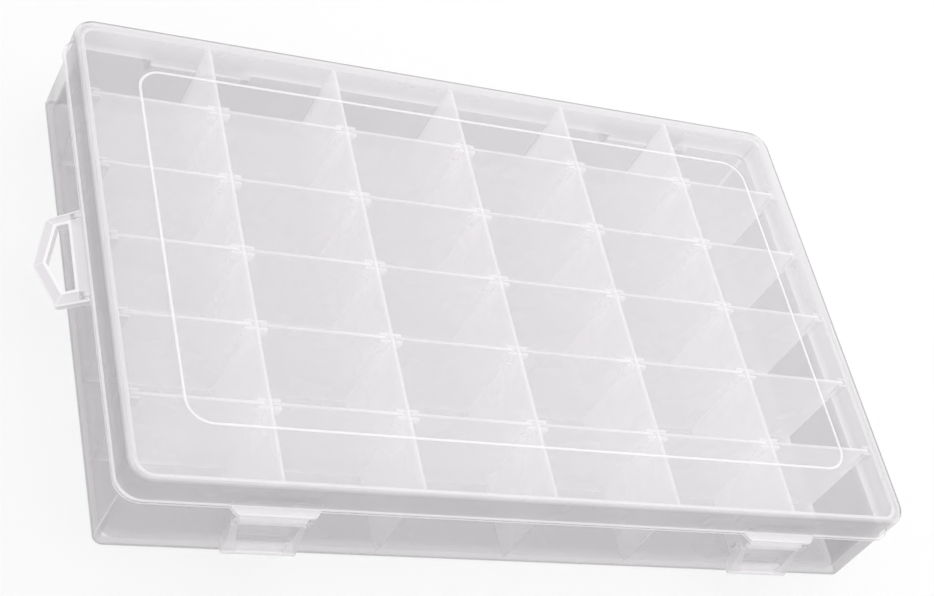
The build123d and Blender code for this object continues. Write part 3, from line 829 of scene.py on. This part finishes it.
HOOK = dict(root=FLAP["back"] - 0.4, tip=FRONT - 0.6, foot=11.6, nose=14.0, top=14.8, half=9.0)
hook = np.array([(HOOK["root"], HOOK["foot"]), (HOOK["tip"], HOOK["nose"]), (HOOK["tip"], HOOK["top"]),
                 (HOOK["root"], HOOK["top"])])
# Each latch's barrel carries a painted highlight.
for side, node in ((-1, "latch_left"), (1, "latch_right")):
    middle, half = side * LATCH["x"], LATCH["length"] / 2
    latch = Piece(f"{node}_flap").add(*flap_grid(middle))
    latch.add(along_x(slab(barrel_outline(), middle + half, middle - half, 0.2)), 0.45)
    latch.add(along_x(slab(hook, middle + HOOK["half"], middle - HOOK["half"], 0.15)))
    made = latch.finish(node, [node], "clear_shell", LATCH_PLASTIC)
print("latch", len(made.data.polygons), "faces")

# %% [markdown]
# The hang loop is a five-sided ring whose top slopes from a ridge near the hole down to its outer edge.
# It is drawn flat, as a section carried round from the outer outline to the inner one. Two slots for
# the tray's eyes are then cut with an exact Boolean, a pin crosses each, and all of it is tilted down
# about the pins. Carrying the slots in the section would fold it over itself at the corners.

# %% Hang loop
OUTER = [(0, -17.1), (10.7, -16.4), (16.0, 0), (10.7, 16.4), (0, 17.1)]
INNER = [(3.8, -12.4), (7.6, -12.4), (11.8, 0), (7.6, 12.4), (3.8, 12.4)]
# The last number of each section row is a painted highlight.
SECTION = np.array([
    (0.80, 3.0, 1.0), (0.74, 2.93, 0.1), (0.16, 2.35, 0.1), (0.05, 2.24, 1.0), (0.0, 2.1, 1.0),
    (0.0, 1.85, 0.1), (0.0, 0.35, 0.1), (0.0, 0.15, 0.8), (0.05, 0.0, 0.8), (0.12, 0.0, 0.1),
    (0.88, 0.0, 0.1), (0.95, 0.0, 0.8), (1.0, 0.15, 0.8), (1.0, 0.35, 0.1), (1.0, 2.65, 0.1),
    (1.0, 2.88, 1.0), (0.95, 3.0, 1.0)])


def loop_grid():
    """Points outer + (inner - outer) * share at a height, by rows of share, height and painted highlight."""
    outer = rounded(OUTER, [0.5, 1.2, 1.6, 1.2, 0.5], 4)
    inner = rounded(INNER, [0.4, 0.6, 0.8, 0.6, 0.4], 4)
    share, height, painted_values = SECTION.T[..., None]
    flat = outer + (inner - outer) * share[..., None]
    level = np.broadcast_to(height, flat.shape[:2])
    # The top corners of the ring carry a painted highlight.
    corner = np.tile([0.0, 0.35, 0.5, 0.35, 0.0], 5)
    gleam = np.maximum(painted_values, corner * (height > 1.9))
    return np.concatenate([flat, level[..., None]], axis=-1), gleam


def tilted(points):
    """Flat drawing to place: turned to point left, tilted down about the pins, moved to them."""
    sin, cos = math.sin(math.radians(LOOP["tilt"])), math.cos(math.radians(LOOP["tilt"]))
    x, y, z = LOOP["edge"] - points[..., 0], -points[..., 1], points[..., 2] - LOOP["thick"] / 2
    return np.stack([LOOP["x"] + x * cos - z * sin, y, LOOP["z"] + x * sin + z * cos], axis=-1)


def plain_object(name, piece):
    """A helper object from a piece, in millimetres, for cutting."""
    mesh = bpy.data.meshes.new(name)
    mesh.from_pydata(np.concatenate(piece.points), [], np.concatenate(piece.quads).tolist() + piece.caps)
    mesh.attributes.new("gleam", "FLOAT", "POINT").data.foreach_set("value", np.concatenate(piece.gleam))
    made = bpy.data.objects.new(name, mesh)
    bpy.context.scene.collection.objects.link(made)
    return made


ring = Piece("ring").add(*loop_grid(), ring=True)
slots = Piece("slots")
slot_depth, slot_half = LOOP["edge"] + LOOP["eye"] + 0.3, LOOP["eye_thick"] / 2 + 0.4
# The slots carry a painted highlight onto the faces they cut.
for side in (-1, 1):
    square = rounded(rectangle(np.array(slot_depth), np.array(slot_half)), 0.15, 2)
    square = square + np.array([0, side * LOOP["eye_y"]])
    slots.add(stack(square, [0.0, 0.0], [LOOP["thick"] + 1, -1.0]), 0.4)
ring_object, slots_object = plain_object("ring", ring), plain_object("slots", slots)
cutting = ring_object.modifiers.new("slots", "BOOLEAN")
cutting.object, cutting.operation, cutting.solver = slots_object, "DIFFERENCE", "EXACT"
cut = bpy.data.meshes.new_from_object(ring_object.evaluated_get(bpy.context.evaluated_depsgraph_get()))
points = np.empty(len(cut.vertices) * 3)
cut.vertices.foreach_get("co", points)
painted_values = np.empty(len(cut.vertices))
cut.attributes["gleam"].data.foreach_get("value", painted_values)
loop = Piece("loop")
loop.points, loop.gleam, loop.thin = [tilted(points.reshape(-1, 3))], [painted_values], [np.zeros(len(painted_values))]
loop.caps, loop.count = [list(p.vertices) for p in cut.polygons], len(painted_values)
pin, pin_half = circle(LOOP["edge"], LOOP["thick"] / 2, LOOP["pin"], steps=16), 1.5
# The pins carry a slight painted highlight.
for middle in (LOOP["eye_y"], -LOOP["eye_y"]):
    rod = along_y(slab(pin, middle + pin_half, middle - pin_half, 0.05, 1))
    loop.add(tilted(rod), 0.2)
loop_made = loop.finish("hang_loop", ["hang_loop"], "clear_loop", LOOP_PLASTIC)
bpy.data.objects.remove(ring_object)
bpy.data.objects.remove(slots_object)
print("loop", len(loop_made.data.polygons), "faces")

# %% [markdown]
# The box was photographed on white in soft light from above. The floor is a plain pale sheet that keeps
# the box's shadow, and it and the world look white to the camera and in reflections. A large lamp
# overhead and a dim pale world light the plastic, tops more than sides.

# %% Floor, world and lamp
def seen(start):
    """1 for camera, glossy and transmission rays."""
    path = start.tree.nodes.new("ShaderNodeLightPath")
    camera, glossy, through = (Shade(start.tree, path.outputs[n]) for n in
                               ("Is Camera Ray", "Is Glossy Ray", "Is Transmission Ray"))
    return camera.math("MAXIMUM", camera.math("MAXIMUM", camera, glossy), through)


WHITE = grey(1.0, 1.0)
FLOOR = dict(half=6.0, level=-0.3 * MM, grey=0.86, own_light=0.5)
floor_material = bpy.data.materials.new("floor")
floor_material.use_nodes = True
floor_material.node_tree.nodes.clear()
begin = Shade(floor_material.node_tree, None)
matt = begin.node("ShaderNodeBsdfDiffuse", inputs={"Color": grey(FLOOR["grey"], 1.0)})
white = begin.node("ShaderNodeEmission", inputs={"Color": WHITE, "Strength": 1.0})
sheet = begin.node("ShaderNodeMixShader", inputs={0: FLOOR["own_light"] * seen(begin), 1: matt, 2: white})
begin.node("ShaderNodeOutputMaterial", inputs={"Surface": sheet})
floor_mesh = bpy.data.meshes.new("floor")
corners = rectangle(np.array(FLOOR["half"]), np.array(FLOOR["half"]))
floor_mesh.from_pydata([(x, y, FLOOR["level"]) for x, y in corners], [], [(0, 1, 2, 3)])
floor_mesh.materials.append(floor_material)
floor = bpy.data.objects.new("floor", floor_mesh)
bpy.context.scene.collection.objects.link(floor)

world = bpy.data.worlds.new("studio")
bpy.context.scene.world = world
world.use_nodes = True
world.node_tree.nodes.clear()
begin = Shade(world.node_tree, None)
dim, bright = (begin.node("ShaderNodeBackground", inputs={"Color": WHITE, "Strength": strength})
               for strength in (0.8, 1.0))
both = begin.node("ShaderNodeMixShader", inputs={0: seen(begin), 1: dim, 2: bright})
begin.node("ShaderNodeOutputWorld", inputs={"Surface": both})

lamp_data = bpy.data.lights.new("overhead", "AREA")
lamp_data.shape, lamp_data.size, lamp_data.size_y, lamp_data.energy = "RECTANGLE", 1.6, 1.4, 6.8
lamp = bpy.data.objects.new("overhead", lamp_data)
lamp.location = (0.45, 0.3, 0.95)
bpy.context.scene.collection.objects.link(lamp)
print("lamp", lamp_data.energy, "W")

# %% [markdown]
# The camera was found by fitting a pinhole camera to corners of the box in the photograph. It looks down
# from the front left, rolled a little, with its middle on the image's middle, so it needs no shift.

# %% Camera and view
camera_data = bpy.data.cameras.new("camera")
camera_data.lens, camera_data.sensor_width, camera_data.sensor_fit = 75.078, 36.0, "HORIZONTAL"
camera_data.clip_start, camera_data.clip_end = 0.01, 50.0
camera = bpy.data.objects.new("camera", camera_data)
camera.location = (-0.30764, -0.35563, 0.47389)
camera.rotation_euler = [math.radians(a) for a in (39.799, -25.587, -12.867)]
bpy.context.scene.collection.objects.link(camera)
bpy.context.scene.camera = camera
bpy.context.scene.view_settings.view_transform = "Standard"
bpy.context.scene.cycles.transparent_max_bounces = 40
print("camera at", tuple(camera.location))
